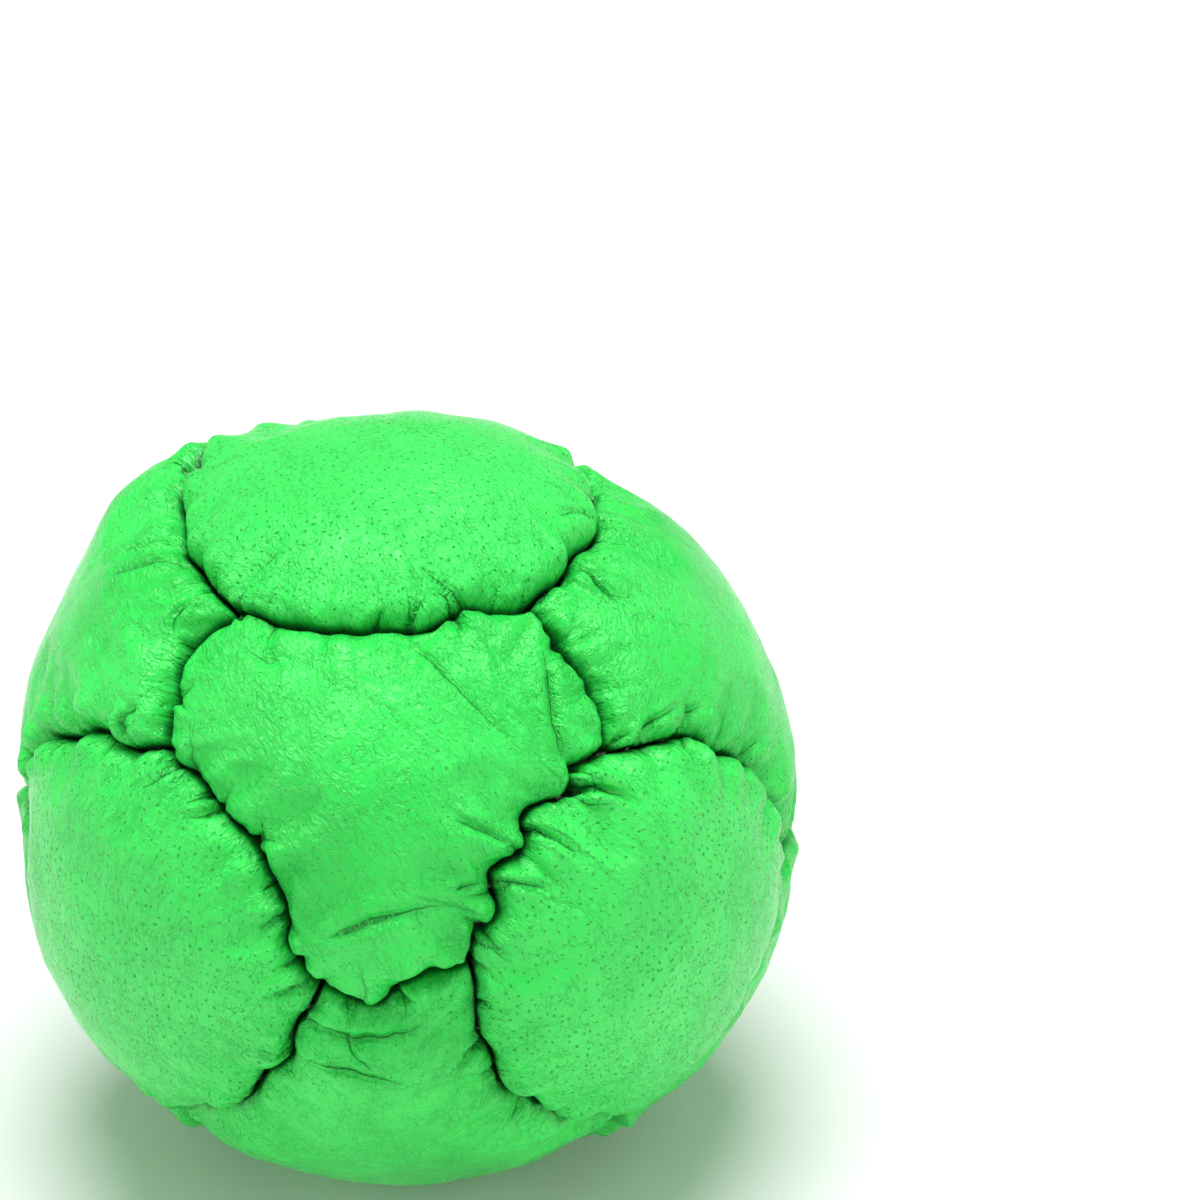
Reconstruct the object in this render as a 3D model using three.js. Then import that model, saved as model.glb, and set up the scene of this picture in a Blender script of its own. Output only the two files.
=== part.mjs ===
// A hand-sewn footbag: fourteen leather panels, their threads and a filling of sand.
// Millimetres, Z up. It stands on its settled underside, and the origin is the middle of that flat.
// Six panels are four-sided and face along six square axes. The eight between them are six-sided.

import * as THREE from 'three';
import { mergeVertices } from 'three/addons/utils/BufferGeometryUtils.js';

// The sewn bag
const bag_diameter = 57; // over the crowns of the panels
const seam_sink = 2.1; // from the crowns in to a stitched seam
const lobe_rise = 0.8; // how far the leather swells back up between two stitches
const foot_width = 19; // the flat that the sand settles into underneath

// The leather, turned in along every edge and sewn back to back
const leather_thickness = 1;
const seam_gap = 0.3; // between the two turned-in edges
const hole_setback = 1.1; // from the fold down to the needle holes
const hole_to_edge = 0.6; // leather left below the needle holes
const corner_setback = 0.8; // leather between a corner and the first hole of a long seam
const short_setback = 1.4; // and of a short seam, whose thread passes inside the long one's

// The thread, a running stitch through both edges
const stitch_pitch = 3.2;
const thread_diameter = 0.4;
const thread_clearance = 0.2; // round the thread in its hole, and against the leather
const thread_tail = 0.4; // each end, left standing inside the bag

const fill_clearance = 0.3; // between the sand and the leather

const thread_sides = 4;
const leather_finish = { color: 0x4fe070, roughness: 0.62, metalness: 0 };
const thread_finish = { color: 0xd9dcc8, roughness: 0.5, metalness: 0 };
const sand_finish = { color: 0xc7ad7c, roughness: 0.95, metalness: 0 };

const ball_radius = bag_diameter / 2;
const seam_radius = ball_radius - seam_sink;
const needle_hole = thread_diameter + 2 * thread_clearance;
const hole_radius = seam_radius - hole_setback - needle_hole / 2;
const allowance_radius = hole_radius - needle_hole / 2 - hole_to_edge;
const outer_face = seam_gap / 2;
const inner_face = outer_face + leather_thickness;
const thread_inset = inner_face + thread_clearance + thread_diameter / 2;
const pocket_inset = thread_inset + thread_diameter / 2 + fill_clearance;
const foot_level = -Math.sqrt(ball_radius ** 2 - (foot_width / 2) ** 2);

// Where the four-sided panels look, with the front at -Y
const facing_shares = {
  top: [0, 0, 1],
  bottom: [0, 0, -1],
  front_left: [-1, -1, 0],
  front_right: [1, -1, 0],
  back_left: [-1, 1, 0],
  back_right: [1, 1, 0],
};
const axis = {};
for (const [name, shares] of Object.entries(facing_shares)) {
  axis[name] = new THREE.Vector3(...shares).normalize();
}

// Each four-sided panel, with its four neighbours counter-clockwise
const square_panels = {
  top: ['front_left', 'front_right', 'back_right', 'back_left'],
  front_left: ['front_right', 'top', 'back_left', 'bottom'],
  front_right: ['top', 'front_left', 'bottom', 'back_right'],
  back_left: ['front_left', 'top', 'back_right', 'bottom'],
  back_right: ['back_left', 'top', 'front_right', 'bottom'],
  bottom: ['front_right', 'front_left', 'back_left', 'back_right'],
};

// Each six-sided panel lies between three four-sided ones, counter-clockwise
const hex_panels = {
  upper_front: ['front_left', 'front_right', 'top'],
  upper_right: ['front_right', 'back_right', 'top'],
  upper_back: ['back_right', 'back_left', 'top'],
  upper_left: ['back_left', 'front_left', 'top'],
  lower_front: ['front_right', 'front_left', 'bottom'],
  lower_right: ['back_right', 'front_right', 'bottom'],
  lower_back: ['back_left', 'back_right', 'bottom'],
  lower_left: ['front_left', 'back_left', 'bottom'],
};

// A corner of a four-sided panel leans towards a neighbour's axis, and a little to one side
const corner_shares = {
  top: {
    front_left: [0.57, 0.02],
    front_right: [0.55, -0.04],
    back_right: [0.58, 0.01],
    back_left: [0.55, 0.06],
  },
  front_left: {
    front_right: [0.58, 0.04],
    top: [0.54, -0.05],
    back_left: [0.62, -0.09],
    bottom: [0.61, -0.04],
  },
  front_right: {
    top: [0.53, 0.05],
    front_left: [0.53, -0.1],
    bottom: [0.67, 0.03],
    back_right: [0.65, -0.08],
  },
  back_left: {
    front_left: [0.56, 0.02],
    top: [0.55, -0.03],
    back_right: [0.57, 0.01],
    bottom: [0.55, -0.02],
  },
  back_right: {
    back_left: [0.55, -0.02],
    top: [0.56, 0.02],
    front_right: [0.57, 0.03],
    bottom: [0.57, 0.03],
  },
  bottom: {
    front_right: [0.5, -0.02],
    front_left: [0.53, 0.02],
    back_left: [0.56, -0.01],
    back_right: [0.55, 0.03],
  },
};

// How full each panel is, as a share of the bag's radius; the others are 1
const crown_shares = new Map([
  ['top', 1.01],
  ['upper_left', 1.05],
  ['upper_back', 0.985],
  ['lower_left', 1.02],
  ['lower_right', 1.02],
  ['lower_front', 0.985],
]);

// How far a seam bows away from the first panel named, as a share of its length
const long_bow_share = 0.13;
const short_bow_share = 0;
const bow_shares = new Map([
  ['top upper_front', 0.14],
  ['top upper_right', 0.11],
  ['top upper_left', 0.15],
  ['front_left upper_front', 0.12],
  ['front_left upper_left', 0.15],
  ['front_right upper_front', 0.12],
  ['front_right upper_right', 0.145],
  ['front_right lower_front', 0.15],
  ['front_right lower_right', 0.08],
  ['upper_front upper_right', 0.09],
  ['upper_front upper_left', 0.12],
  ['upper_front lower_front', 0.1],
]);

// How far the fold strays away from the first panel between stitches, as shares of the pitch
const stray_shares = [0.08, -0.1, 0.06, -0.09, 0.1];
const seam_stray_shares = new Map([
  ['top upper_front', [0.14, 0.1, 0.04, 0.06, -0.12]],
  ['top upper_right', [0.2, -0.1, 0.14, -0.14, 0.05]],
  ['front_left upper_front', [-0.12, 0.12, 0.06, -0.04, -0.14]],
  ['front_right upper_front', [0.12, 0.16, -0.14, 0.2, -0.2]],
  ['front_right upper_right', [-0.1, 0.1, -0.08, 0.06, 0.1]],
]);

// Rings of a panel's crown, from its middle (0) to its fold (1)
const crown_ring_shares = [0.36, 0.66, 0.88];
const inner_ring_share = 0.5;
const coarse_column_count = 4; // the rings nearest the middle use one column in so many
const crown_power = 5; // how square the profile of a crown is
const lobe_power = 6; // and how close to the fold its lobes stay

// The sand's ring under each panel, and its height on the way from the seams' level to the crown
const fill_ring_share = 0.75;
const fill_swell_share = 0.4;
const long_seam_segments = 3;
const short_seam_segments = 2;

function cornerDirection(square, neighbour) {
  const [lean, skew] = corner_shares[square][neighbour];
  const side = new THREE.Vector3().crossVectors(axis[square], axis[neighbour]);
  return axis[square].clone()
    .multiplyScalar(Math.sqrt(1 - lean ** 2 - skew ** 2))
    .addScaledVector(axis[neighbour], lean)
    .addScaledVector(side, skew);
}

function squareCorners(square) {
  return square_panels[square].map((neighbour) => [square, neighbour]);
}

function hexCorners(hex) {
  const [a, b, c] = hex_panels[hex];
  return [[a, b], [b, a], [b, c], [c, b], [c, a], [a, c]];
}

function makePanel(name, shape, pairs) {
  const corners = pairs.map(([square, neighbour]) => ({
    key: `${square} ${neighbour}`,
    direction: cornerDirection(square, neighbour),
  }));
  const centre = new THREE.Vector3();
  for (const corner of corners) centre.add(corner.direction);
  return { name, shape, corners, centre: centre.normalize(), edges: [] };
}

const panels = [
  ...Object.keys(square_panels).map((name) => makePanel(name, 'square', squareCorners(name))),
  ...Object.keys(hex_panels).map((name) => makePanel(name, 'hex', hexCorners(name))),
];

// A seam runs counter-clockwise round the first of its two panels, its home.
// Long seams border a four-sided panel.
const seams = new Map();

function makeSeam(home, from, to) {
  return {
    home,
    from: from.direction,
    to: to.direction,
    normal: new THREE.Vector3().crossVectors(from.direction, to.direction).normalize(),
    angle: from.direction.angleTo(to.direction),
    isLong: home.shape === 'square',
    reach: { from: 0, to: 0 },
  };
}

function shapeSeam(seam, away) {
  const name = `${seam.home.name} ${away.name}`;
  const usual_bow = seam.isLong ? long_bow_share : short_bow_share;
  seam.away = away;
  seam.bow = bow_shares.get(name) ?? usual_bow;
  seam.stray = seam_stray_shares.get(name) ?? stray_shares;
}

for (const panel of panels) {
  panel.corners.forEach((from, i) => {
    const to = panel.corners[(i + 1) % panel.corners.length];
    const key = [from.key, to.key].sort().join(' to ');
    const isAway = seams.has(key);
    if (!isAway) seams.set(key, makeSeam(panel, from, to));
    const seam = seams.get(key);
    if (isAway) shapeSeam(seam, panel);
    panel.edges.push({ seam, isAway });
  });
}

// The direction, from the bag's centre, of the seam at t along it
function seamDirection(seam, t) {
  const along = new THREE.Vector3()
    .addScaledVector(seam.from, Math.sin((1 - t) * seam.angle))
    .addScaledVector(seam.to, Math.sin(t * seam.angle))
    .normalize();
  const swing = -seam.bow * seam.angle * Math.sin(Math.PI * t);
  return along.multiplyScalar(Math.cos(swing)).addScaledVector(seam.normal, Math.sin(swing));
}

// Unit vectors at t: out of the bag, along the seam, and into the home panel
function seamFrame(seam, t) {
  const step_share = 0.01;
  const before = seamDirection(seam, Math.max(0, t - step_share));
  const after = seamDirection(seam, Math.min(1, t + step_share));
  const out = seamDirection(seam, t);
  const along = after.sub(before).normalize();
  return { out, along, into: new THREE.Vector3().crossVectors(out, along).normalize() };
}

function seamPoint(seam, t, radius, inset) {
  const frame = seamFrame(seam, t);
  return frame.out.multiplyScalar(radius).addScaledVector(frame.into, inset);
}

function intoPanel(edge, t) {
  return seamFrame(edge.seam, t).into.multiplyScalar(edge.isAway ? -1 : 1);
}

// The mitre where two edges of a panel meet: it moves one unit in from both of them
function cornerMitre(panel, i) {
  const last = panel.edges[(i + panel.edges.length - 1) % panel.edges.length];
  const next = panel.edges[i];
  const into_last = intoPanel(last, last.isAway ? 0 : 1);
  const into_next = intoPanel(next, next.isAway ? 1 : 0);
  return into_last.clone().add(into_next).divideScalar(1 + into_last.dot(into_next));
}

// How far along a seam the turned-in edges of a panel's corner reach
function cornerReach(panel, i, edge) {
  const t = edge === panel.edges[i] ? Number(edge.isAway) : Number(!edge.isAway);
  const along = seamFrame(edge.seam, t).along.multiplyScalar(t === 0 ? 1 : -1);
  return inner_face * cornerMitre(panel, i).dot(along);
}

for (const panel of panels) {
  panel.edges.forEach((edge, i) => {
    const { reach } = edge.seam;
    const next = (i + 1) % panel.edges.length;
    const [start, end] = edge.isAway ? ['to', 'from'] : ['from', 'to'];
    reach[start] = Math.max(reach[start], cornerReach(panel, i, edge));
    reach[end] = Math.max(reach[end], cornerReach(panel, next, edge));
  });
}

// An even count of stitches on each long seam keeps its thread inside the four-sided panel at corners
function stitchCount(span, isLong) {
  const holes = span / stitch_pitch + 1;
  return isLong ? 2 * Math.max(1, Math.round(holes / 2)) : Math.max(1, Math.round(holes));
}

// Where along a seam, as shares of its length, its holes lie
function stitchPlaces(seam) {
  const length = seam.angle * seam_radius;
  const setback = (seam.isLong ? corner_setback : short_setback) + needle_hole / 2;
  const span = length - seam.reach.from - seam.reach.to - 2 * setback;
  const count = stitchCount(span, seam.isLong);
  const step = span / Math.max(1, count - 1);
  const first = seam.reach.from + setback + (span - step * (count - 1)) / 2;
  return Array.from({ length: count }, (_, i) => (first + step * i) / length);
}

for (const seam of seams.values()) seam.stitches = stitchPlaces(seam);

// How far the fold strays into the panel at a lobe, the swelling between two stitches
function lobeStray(edge, lobe) {
  const shares = edge.seam.stray;
  const away_shift = shares[lobe % shares.length] * stitch_pitch;
  return edge.isAway ? away_shift : -away_shift;
}

// What lies along a seam between its corners: stitches, with lobes midway between them
function seamMarks(edge) {
  const { stitches } = edge.seam;
  const marks = stitches.map((t) => ({ kind: 'stitch', t, stray: 0 }));
  for (let i = 1; i < stitches.length; i += 1) {
    const t = (stitches[i - 1] + stitches[i]) / 2;
    marks.push({ kind: 'lobe', t, stray: lobeStray(edge, i - 1) });
  }
  marks.sort((a, b) => a.t - b.t);
  return edge.isAway ? marks.reverse() : marks;
}

// The columns of a panel's edge: its first corner, then the marks of its seam
function edgeColumns(panel, i, first) {
  const edge = panel.edges[i];
  const corner = {
    kind: 'corner',
    place: first,
    out: seamDirection(edge.seam, edge.isAway ? 1 : 0),
    into: cornerMitre(panel, i),
    stray: 0,
  };
  const marks = seamMarks(edge).map((mark, k) => ({
    ...mark,
    edge,
    place: first + k + 1,
    out: seamDirection(edge.seam, mark.t),
    into: intoPanel(edge, mark.t),
  }));
  return [corner, ...marks];
}

function panelColumns(panel) {
  const columns = [];
  panel.edges.forEach((edge, i) => columns.push(...edgeColumns(panel, i, columns.length)));
  return columns;
}

function foldPoint(column) {
  const rise = column.kind === 'lobe' ? lobe_rise : 0;
  return column.out.clone()
    .multiplyScalar(seam_radius + rise)
    .addScaledVector(column.into, outer_face + column.stray);
}

function insetPoint(column, radius, inset) {
  return column.out.clone().multiplyScalar(radius).addScaledVector(column.into, inset);
}

// Sand settles flat: nothing lies lower than the foot, raised by what is between them
function aboveFoot(point, lift) {
  const lowest = foot_level + lift;
  if (point.z < lowest) point.multiplyScalar(lowest / point.z);
  return point;
}

function crownRadius(panel) {
  return ball_radius * (crown_shares.get(panel.name) ?? 1);
}

// A point of the crown at a share of the way from the panel's middle to the fold
function crownPoint(panel, column, share, depth) {
  const fullness = Math.sqrt(1 - share ** crown_power);
  const rise = column.kind === 'lobe' ? lobe_rise * share ** lobe_power : 0;
  const radius = seam_radius + (crownRadius(panel) - seam_radius) * fullness + rise - depth;
  const direction = panel.centre.clone().lerp(foldPoint(column).normalize(), share).normalize();
  return aboveFoot(direction.multiplyScalar(radius), depth);
}

function crownMiddle(panel, depth) {
  return aboveFoot(panel.centre.clone().multiplyScalar(crownRadius(panel) - depth), depth);
}

// A closed skin made of rings, each joined to the one before it
class Skin {
  constructor(period) {
    this.period = period;
    this.points = [];
    this.triangles = [];
  }

  point(position) {
    this.points.push(position.x, position.y, position.z);
    return this.points.length / 3 - 1;
  }

  ring(columns, at) {
    return columns.map((column) => ({ place: column.place, index: this.point(at(column)) }));
  }

  closed(ring) {
    return [...ring, { place: this.period, index: ring[0].index }];
  }

  // The side that has the nearer next place steps first
  join(first_ring, second_ring) {
    const first = this.closed(first_ring);
    const second = this.closed(second_ring);
    let i = 0;
    let j = 0;
    while (i < first.length - 1 || j < second.length - 1) {
      const first_place = i < first.length - 1 ? first[i + 1].place : Infinity;
      const second_place = j < second.length - 1 ? second[j + 1].place : Infinity;
      if (first_place <= second_place) {
        this.triangles.push(first[i].index, second[j].index, first[i + 1].index);
        i += 1;
      } else {
        this.triangles.push(first[i].index, second[j].index, second[j + 1].index);
        j += 1;
      }
    }
  }

  joinAll(rings) {
    for (let i = 1; i < rings.length; i += 1) this.join(rings[i - 1], rings[i]);
  }

  openCap(middle, ring) {
    const centre = this.point(middle);
    const closed = this.closed(ring);
    for (let i = 1; i < closed.length; i += 1) {
      this.triangles.push(centre, closed[i - 1].index, closed[i].index);
    }
  }

  closeCap(middle, ring) {
    const centre = this.point(middle);
    const closed = this.closed(ring);
    for (let i = 1; i < closed.length; i += 1) {
      this.triangles.push(closed[i].index, closed[i - 1].index, centre);
    }
  }

  // Leather between an outline and the rim of a hole, triangulated flat in the plane of a frame
  fillRound(outline, rim, frame, turn) {
    const all = [...outline, ...rim];
    const flat = all.map((index) => {
      const point = new THREE.Vector3().fromArray(this.points, 3 * index);
      return new THREE.Vector2(point.dot(frame.along), point.dot(frame.out));
    });
    const contour = flat.slice(0, outline.length);
    for (const [a, b, c] of THREE.ShapeUtils.triangulateShape(contour, [flat.slice(outline.length)])) {
      const isTurned = Math.sign(THREE.ShapeUtils.area([flat[a], flat[b], flat[c]])) === turn;
      this.triangles.push(all[a], all[isTurned ? b : c], all[isTurned ? c : b]);
    }
  }

  // The wall of a hole, between its rim on one face and its rim on the other
  holeWall(rim, far_rim, turn) {
    rim.forEach((start, k) => {
      const next = (k + 1) % rim.length;
      const [a, b] = turn > 0 ? [k, next] : [next, k];
      this.triangles.push(rim[a], rim[b], far_rim[b], rim[a], far_rim[b], far_rim[a]);
    });
  }

  geometry() {
    const geometry = new THREE.BufferGeometry();
    geometry.setAttribute('position', new THREE.Float32BufferAttribute(this.points, 3));
    geometry.setIndex(this.triangles);
    return geometry;
  }
}

// The corners of a square needle hole where it opens on a face of the turned-in edge
function holeRim(skin, column, inset) {
  const frame = seamFrame(column.edge.seam, column.t);
  const middle = insetPoint(column, hole_radius, inset);
  const corners = [[-1, -1], [1, -1], [1, 1], [-1, 1]];
  return corners.map(([x, y]) => skin.point(middle.clone()
    .addScaledVector(frame.along, (x * needle_hole) / 2)
    .addScaledVector(frame.out, (y * needle_hole) / 2)));
}

function at(ring, place) {
  return ring.find((entry) => entry.place === place).index;
}

// One face of the turned-in edge between the marks on both sides of a stitch, with its needle hole
function piercedFace(skin, column, fold, edge, inset, turn) {
  const { seam, isAway } = column.edge;
  const before = column.place - 1;
  const after = (column.place + 1) % skin.period;
  const [low, high] = isAway ? [after, before] : [before, after];
  const outline = [
    at(fold, low),
    at(edge, low),
    at(edge, high),
    at(fold, high),
    at(fold, column.place),
  ];
  const rim = holeRim(skin, column, inset);
  skin.fillRound(outline, rim, seamFrame(seam, column.t), turn);
  return rim;
}

function pierce(skin, column, fold, edge_outside, edge_inside, inner_fold) {
  const turn = column.edge.isAway ? -1 : 1;
  const rim = piercedFace(skin, column, fold, edge_outside, outer_face, turn);
  const far_rim = piercedFace(skin, column, inner_fold, edge_inside, inner_face, -turn);
  skin.holeWall(rim, far_rim, turn);
}

// A crowned leather panel, its edges turned in and pierced for the thread
function leatherPanel(panel) {
  const columns = panelColumns(panel);
  const coarse = columns.filter(({ place, kind }) => (
    place % coarse_column_count === 0 || kind === 'corner'));
  const lobes = columns.filter((column) => column.kind !== 'stitch');
  const stitches = columns.filter((column) => column.kind === 'stitch');
  const outer_sets = [coarse, lobes, columns];

  const skin = new Skin(columns.length);
  const outer = crown_ring_shares.map((share, i) => (
    skin.ring(outer_sets[i], (column) => crownPoint(panel, column, share, 0))));
  const fold = skin.ring(columns, foldPoint);
  const edge_outside = skin.ring(lobes, (column) => insetPoint(column, allowance_radius, outer_face));
  const edge_inside = skin.ring(lobes, (column) => insetPoint(column, allowance_radius, inner_face));
  const inner_fold = skin.ring(columns, (column) => insetPoint(column, seam_radius, inner_face));
  const inner = skin.ring(coarse, (column) => (
    crownPoint(panel, column, inner_ring_share, leather_thickness)));

  skin.openCap(crownMiddle(panel, 0), outer[0]);
  skin.joinAll([...outer, fold]);
  skin.join(edge_outside, edge_inside);
  skin.join(inner_fold, inner);
  skin.closeCap(crownMiddle(panel, leather_thickness), inner);
  for (const stitch of stitches) pierce(skin, stitch, fold, edge_outside, edge_inside, inner_fold);
  return skin.geometry();
}

// A round strand along straight runs, mitred where they meet, with flat ends
function strand(points) {
  const positions = [];
  const triangles = [];
  const runs = points.slice(1).map((point, i) => point.clone().sub(points[i]).normalize());
  let ring = firstRing(points[0], runs[0]);
  points.forEach((point, i) => {
    const before = runs[Math.max(0, i - 1)];
    const after = runs[Math.min(runs.length - 1, i)];
    const plane = before.clone().add(after).normalize();
    if (i > 0) ring = ring.map((corner) => slideToPlane(corner, before, point, plane));
    for (const corner of ring) positions.push(corner.x, corner.y, corner.z);
  });
  for (let i = 1; i < points.length; i += 1) {
    for (let k = 0; k < thread_sides; k += 1) {
      const a = (i - 1) * thread_sides + k;
      const b = (i - 1) * thread_sides + ((k + 1) % thread_sides);
      triangles.push(a, b, a + thread_sides, b, b + thread_sides, a + thread_sides);
    }
  }
  const last = (points.length - 1) * thread_sides;
  for (let k = 1; k < thread_sides - 1; k += 1) {
    triangles.push(0, k + 1, k, last, last + k, last + k + 1);
  }
  const geometry = new THREE.BufferGeometry();
  geometry.setAttribute('position', new THREE.Float32BufferAttribute(positions, 3));
  geometry.setIndex(triangles);
  return geometry;
}

function firstRing(point, run) {
  const side = new THREE.Vector3().crossVectors(run, point).normalize();
  const lift = new THREE.Vector3().crossVectors(run, side);
  return Array.from({ length: thread_sides }, (_, k) => {
    const angle = (2 * Math.PI * k) / thread_sides;
    return point.clone()
      .addScaledVector(side, (thread_diameter / 2) * Math.cos(angle))
      .addScaledVector(lift, (thread_diameter / 2) * Math.sin(angle));
  });
}

function slideToPlane(corner, run, point, plane) {
  const distance = point.clone().sub(corner).dot(plane) / run.dot(plane);
  return corner.clone().addScaledVector(run, distance);
}

// A running stitch along some seams: through both edges at each hole, then on to the next
function runningStitch(stitched_seams) {
  const points = [];
  let side = 1;
  for (const seam of stitched_seams) {
    for (const t of seam.stitches) {
      points.push(seamPoint(seam, t, hole_radius, side * thread_inset));
      side = -side;
      points.push(seamPoint(seam, t, hole_radius, side * thread_inset));
    }
  }
  leaveTail(points[0], points[1]);
  leaveTail(points[points.length - 1], points[points.length - 2]);
  return strand(points);
}

function leaveTail(end, before) {
  end.addScaledVector(end.clone().sub(before).normalize(), thread_tail);
}

// The sand's columns go along each seam of a panel in a few even steps
function fillColumns(panel) {
  const columns = [];
  panel.edges.forEach((edge, i) => {
    const segments = edge.seam.isLong ? long_seam_segments : short_seam_segments;
    for (let k = 0; k < segments; k += 1) {
      const t = edge.isAway ? 1 - k / segments : k / segments;
      columns.push({
        place: columns.length,
        out: seamDirection(edge.seam, t),
        into: k === 0 ? cornerMitre(panel, i) : intoPanel(edge, t),
      });
    }
  });
  return columns;
}

// The sand: full under each crown, and hollowed along the turned-in edges
function sandFilling() {
  const skin = new Skin(0);
  const pocket_radius = allowance_radius - fill_clearance;
  const skin_depth = leather_thickness + fill_clearance;
  for (const panel of panels) {
    const columns = fillColumns(panel);
    skin.period = columns.length;
    const level = seam_radius + (crownRadius(panel) - seam_radius) * fill_swell_share;
    const swell = skin.ring(columns, (column) => {
      const rim = insetPoint(column, pocket_radius, pocket_inset).normalize();
      const direction = panel.centre.clone().lerp(rim, fill_ring_share).normalize();
      return aboveFoot(direction.multiplyScalar(level - skin_depth), skin_depth);
    });
    const pocket = skin.ring(columns, (column) => insetPoint(column, pocket_radius, pocket_inset));
    const ridge = skin.ring(columns, (column) => insetPoint(column, pocket_radius, 0));
    skin.openCap(crownMiddle(panel, skin_depth), swell);
    skin.joinAll([swell, pocket, ridge]);
  }
  return mergeVertices(skin.geometry());
}

const footbag = new THREE.Group();
footbag.name = 'footbag';
footbag.position.z = -foot_level;

function addPiece(name, geometry, finish) {
  const piece = new THREE.Mesh(geometry, new THREE.MeshStandardMaterial(finish));
  piece.name = name;
  footbag.add(piece);
}

for (const panel of panels) {
  addPiece(`${panel.name}_${panel.shape}_panel`, leatherPanel(panel), leather_finish);
}

// One thread goes round each four-sided panel, and a short one closes each seam between two others
for (const panel of panels.filter(({ shape }) => shape === 'square')) {
  addPiece(`${panel.name}_ring_thread`, runningStitch(panel.edges.map((edge) => edge.seam)), thread_finish);
}
for (const seam of seams.values()) {
  if (!seam.isLong) {
    addPiece(`${seam.home.name}_to_${seam.away.name}_thread`, runningStitch([seam]), thread_finish);
  }
}

addPiece('sand_filling', sandFilling(), sand_finish);

export default footbag;
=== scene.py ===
# A hand-sewn leather footbag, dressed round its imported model.
# Metres, Z up. The bag rests on the floor at the origin, with its front at -Y.

import math
import random

import bmesh
import bpy
import numpy as np
from mathutils import Matrix, Vector, noise


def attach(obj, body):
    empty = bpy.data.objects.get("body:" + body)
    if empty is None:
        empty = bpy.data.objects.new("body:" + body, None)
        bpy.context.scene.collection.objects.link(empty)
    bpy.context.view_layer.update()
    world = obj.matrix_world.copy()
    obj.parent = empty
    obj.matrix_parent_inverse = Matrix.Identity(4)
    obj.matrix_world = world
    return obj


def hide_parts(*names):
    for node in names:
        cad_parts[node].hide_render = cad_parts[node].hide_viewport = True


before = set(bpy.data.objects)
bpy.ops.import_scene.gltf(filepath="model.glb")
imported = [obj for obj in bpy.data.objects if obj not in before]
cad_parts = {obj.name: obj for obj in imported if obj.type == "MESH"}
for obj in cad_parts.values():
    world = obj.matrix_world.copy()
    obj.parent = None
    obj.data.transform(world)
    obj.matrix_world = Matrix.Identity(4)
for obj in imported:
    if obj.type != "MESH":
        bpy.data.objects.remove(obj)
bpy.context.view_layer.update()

# Camera: a long lens a little above the bag, turned so that the bag lies low on the left of the
# square picture, as it was photographed.
MM = 0.001
bag_radius = 28.5 * MM
foot_radius = 9.5 * MM
bag_middle = Vector((0, 0, math.sqrt(bag_radius**2 - foot_radius**2)))
picture_side = 1200
bag_at = Vector((408.2, 799.0))
bag_radius_in_picture = 390
camera_azimuth = math.radians(4.65)
camera_elevation = math.radians(31.2)
camera_roll = math.radians(-2.46)
camera_distance = 10 * bag_radius


def placed(name, data):
    """An object with that data, put into the scene."""
    made = bpy.data.objects.new(name, data)
    bpy.context.scene.collection.objects.link(made)
    return made


focal_pixels = bag_radius_in_picture * math.sqrt((camera_distance / bag_radius) ** 2 - 1)
back = Vector((
    math.sin(camera_azimuth) * math.cos(camera_elevation),
    -math.cos(camera_azimuth) * math.cos(camera_elevation),
    math.sin(camera_elevation),
))
right = Vector((0, 0, 1)).cross(back).normalized()
up = back.cross(right)
aimed = Matrix((right, up, back)).transposed() @ Matrix.Rotation(camera_roll, 3, "Z")
off_centre = bag_at - Vector((picture_side / 2, picture_side / 2))
towards_bag = Vector((off_centre.x, -off_centre.y, -focal_pixels))
swing = towards_bag.rotation_difference(Vector((0, 0, -1))).to_matrix()

lens = bpy.data.cameras.new("camera")
lens.sensor_width = 36
lens.lens = lens.sensor_width * focal_pixels / picture_side
lens.clip_start = 0.01
camera = placed("camera", lens)
camera.location = bag_middle + back * camera_distance
camera.rotation_mode = "QUATERNION"
camera.rotation_quaternion = (aimed @ swing).to_quaternion()
bpy.context.scene.camera = camera

# Pattern: fourteen pieces of leather, cut with four or six sides. Six have four sides and face up, down
# and four ways round; the other eight fill the corners between them. Each side is marked for stitches.
FACING = {
    "top": Vector((0, 0, 1)),
    "bottom": Vector((0, 0, -1)),
    "front_left": Vector((-1, -1, 0)).normalized(),
    "front_right": Vector((1, -1, 0)).normalized(),
    "back_left": Vector((-1, 1, 0)).normalized(),
    "back_right": Vector((1, 1, 0)).normalized(),
}
SQUARES = {
    "top": ["front_left", "front_right", "back_right", "back_left"],
    "front_left": ["front_right", "top", "back_left", "bottom"],
    "front_right": ["top", "front_left", "bottom", "back_right"],
    "back_left": ["front_left", "top", "back_right", "bottom"],
    "back_right": ["back_left", "top", "front_right", "bottom"],
    "bottom": ["front_right", "front_left", "back_left", "back_right"],
}
HEXES = {
    "upper_front": ["front_left", "front_right", "top"],
    "upper_right": ["front_right", "back_right", "top"],
    "upper_back": ["back_right", "back_left", "top"],
    "upper_left": ["back_left", "front_left", "top"],
    "lower_front": ["front_right", "front_left", "bottom"],
    "lower_right": ["back_right", "front_right", "bottom"],
    "lower_back": ["back_left", "back_right", "bottom"],
    "lower_left": ["front_left", "back_left", "bottom"],
}
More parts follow.
